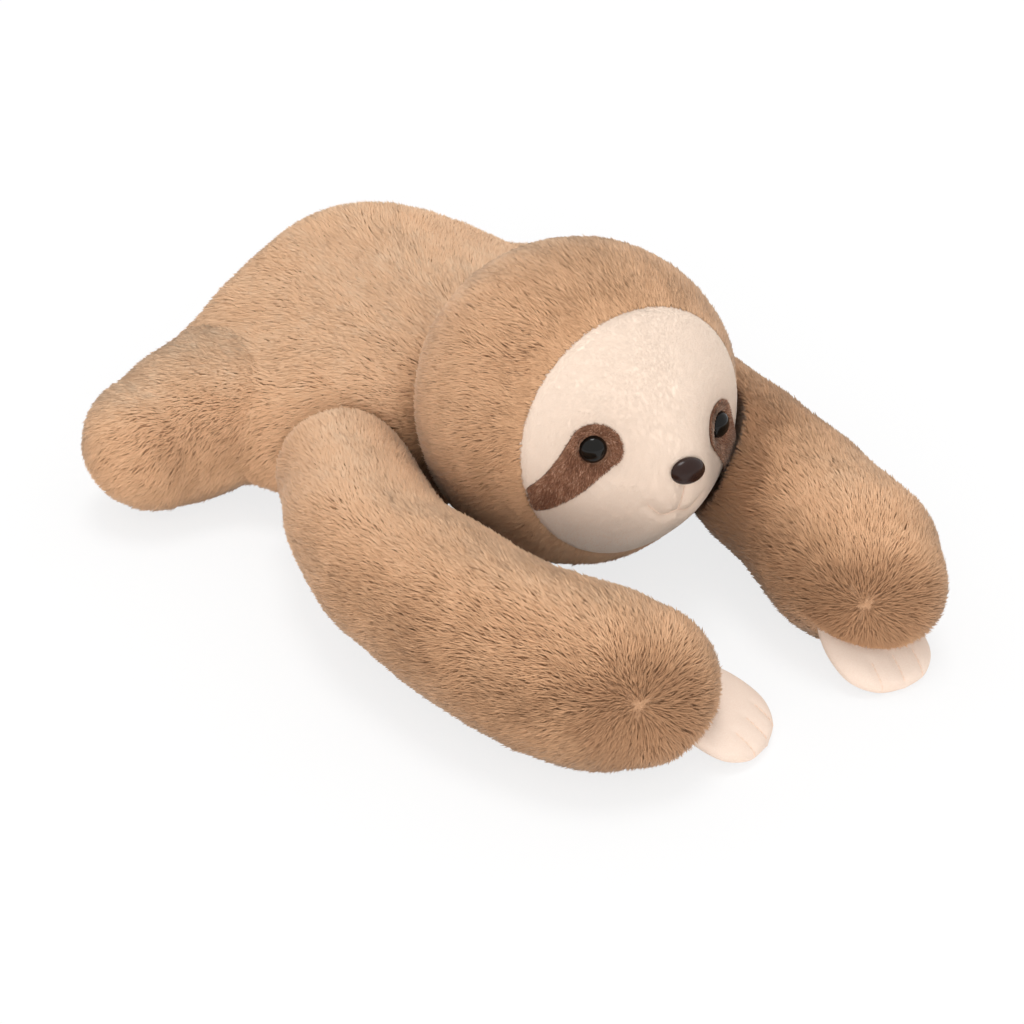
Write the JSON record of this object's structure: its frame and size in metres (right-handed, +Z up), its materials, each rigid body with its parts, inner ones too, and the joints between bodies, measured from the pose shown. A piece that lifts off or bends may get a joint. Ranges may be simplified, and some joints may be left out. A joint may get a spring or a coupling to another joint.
{
  "type": "plush sloth",
  "caption": "Plush sloth lying on its belly: round hooded head, cream face with brown eye patches, bowed arms with flat claw pads, stub legs, soft filling inside.",
  "frame": {"origin": "middle of the flat of the belly, on the floor", "axes": "+Z up, the sloth faces -Y, and +X is its own left side"},
  "size_m": [0.3315, 0.388, 0.1485],
  "materials": {
    "long_pile": "long soft brown pile, matte",
    "cream_pile": "short dense cream pile, matte",
    "brown_pile": "short dense brown pile, matte",
    "velour": "smooth cream velour, matte",
    "gloss_black": "polished near-black moulding",
    "white_plastic": "plain moulded",
    "stuffing": "loose white fibre",
    "thread": "doubled sewing thread"
  },
  "bodies": {
    "torso": {"body_skin": "long_pile", "body_stuffing": "stuffing"},
    "neck": {"neck_seam_stitches": "thread"},
    "head": {"hood_skin": "long_pile", "face_panel": "cream_pile", "head_stuffing": "stuffing", "nose": "gloss_black", "nose_washer": "white_plastic", "mouth_stitching": "thread", "eye_patch_right": "brown_pile", "eye_right": "gloss_black", "eye_washer_right": "white_plastic", "eye_patch_left": "brown_pile", "eye_left": "gloss_black", "eye_washer_left": "white_plastic"},
    "shoulder_right": {"shoulder_seam_stitches_right": "thread"},
    "arm_right": {"arm_skin_right": "long_pile", "arm_stuffing_right": "stuffing", "claw_pad_right": "velour", "claw_padding_right": "stuffing", "claw_topstitching_right": "thread"},
    "leg_right": {"leg_skin_right": "long_pile", "leg_stuffing_right": "stuffing"},
    "shoulder_left": {"shoulder_seam_stitches_left": "thread"},
    "arm_left": {"arm_skin_left": "long_pile", "arm_stuffing_left": "stuffing", "claw_pad_left": "velour", "claw_padding_left": "stuffing", "claw_topstitching_left": "thread"},
    "leg_left": {"leg_skin_left": "long_pile", "leg_stuffing_left": "stuffing"}
  },
  "joints": [
    {"name": "neck_turn", "type": "hinge", "parent": "torso", "child": "neck", "pos_m": [0.01103, -0.125, 0.0745], "axis": [0, 0, 1], "range_deg": [-12, 12], "stiffness_Nm_per_rad": 0.15},
    {"name": "head_nod", "type": "hinge", "parent": "neck", "child": "head", "pos_m": [0.01103, -0.125, 0.0745], "axis": [1, 0, 0], "range_deg": [-20, 8], "stiffness_Nm_per_rad": 0.15},
    {"name": "arm_spread_right", "type": "hinge", "parent": "torso", "child": "shoulder_right", "pos_m": [-0.08097, -0.073, 0.038], "axis": [0, 0, -1], "range_deg": [0, 60], "stiffness_Nm_per_rad": 0.03},
    {"name": "arm_drop_right", "type": "hinge", "parent": "shoulder_right", "child": "arm_right", "pos_m": [-0.08097, -0.073, 0.038], "axis": [1, 0, 0], "range_deg": [0, 30], "stiffness_Nm_per_rad": 0.03},
    {"name": "arm_spread_left", "type": "hinge", "parent": "torso", "child": "shoulder_left", "pos_m": [0.09703, -0.073, 0.038], "axis": [0, 0, 1], "range_deg": [0, 60], "stiffness_Nm_per_rad": 0.03},
    {"name": "arm_drop_left", "type": "hinge", "parent": "shoulder_left", "child": "arm_left", "pos_m": [0.09703, -0.073, 0.038], "axis": [1, 0, 0], "range_deg": [0, 30], "stiffness_Nm_per_rad": 0.03},
    {"name": "leg_swing_right", "type": "hinge", "parent": "torso", "child": "leg_right", "pos_m": [-0.08653, 0.025, 0.036], "axis": [0, 0, -1], "range_deg": [-12, 12], "stiffness_Nm_per_rad": 0.08},
    {"name": "leg_swing_left", "type": "hinge", "parent": "torso", "child": "leg_left", "pos_m": [0.08147, 0.025, 0.036], "axis": [0, 0, 1], "range_deg": [-12, 12], "stiffness_Nm_per_rad": 0.08}
  ]
}
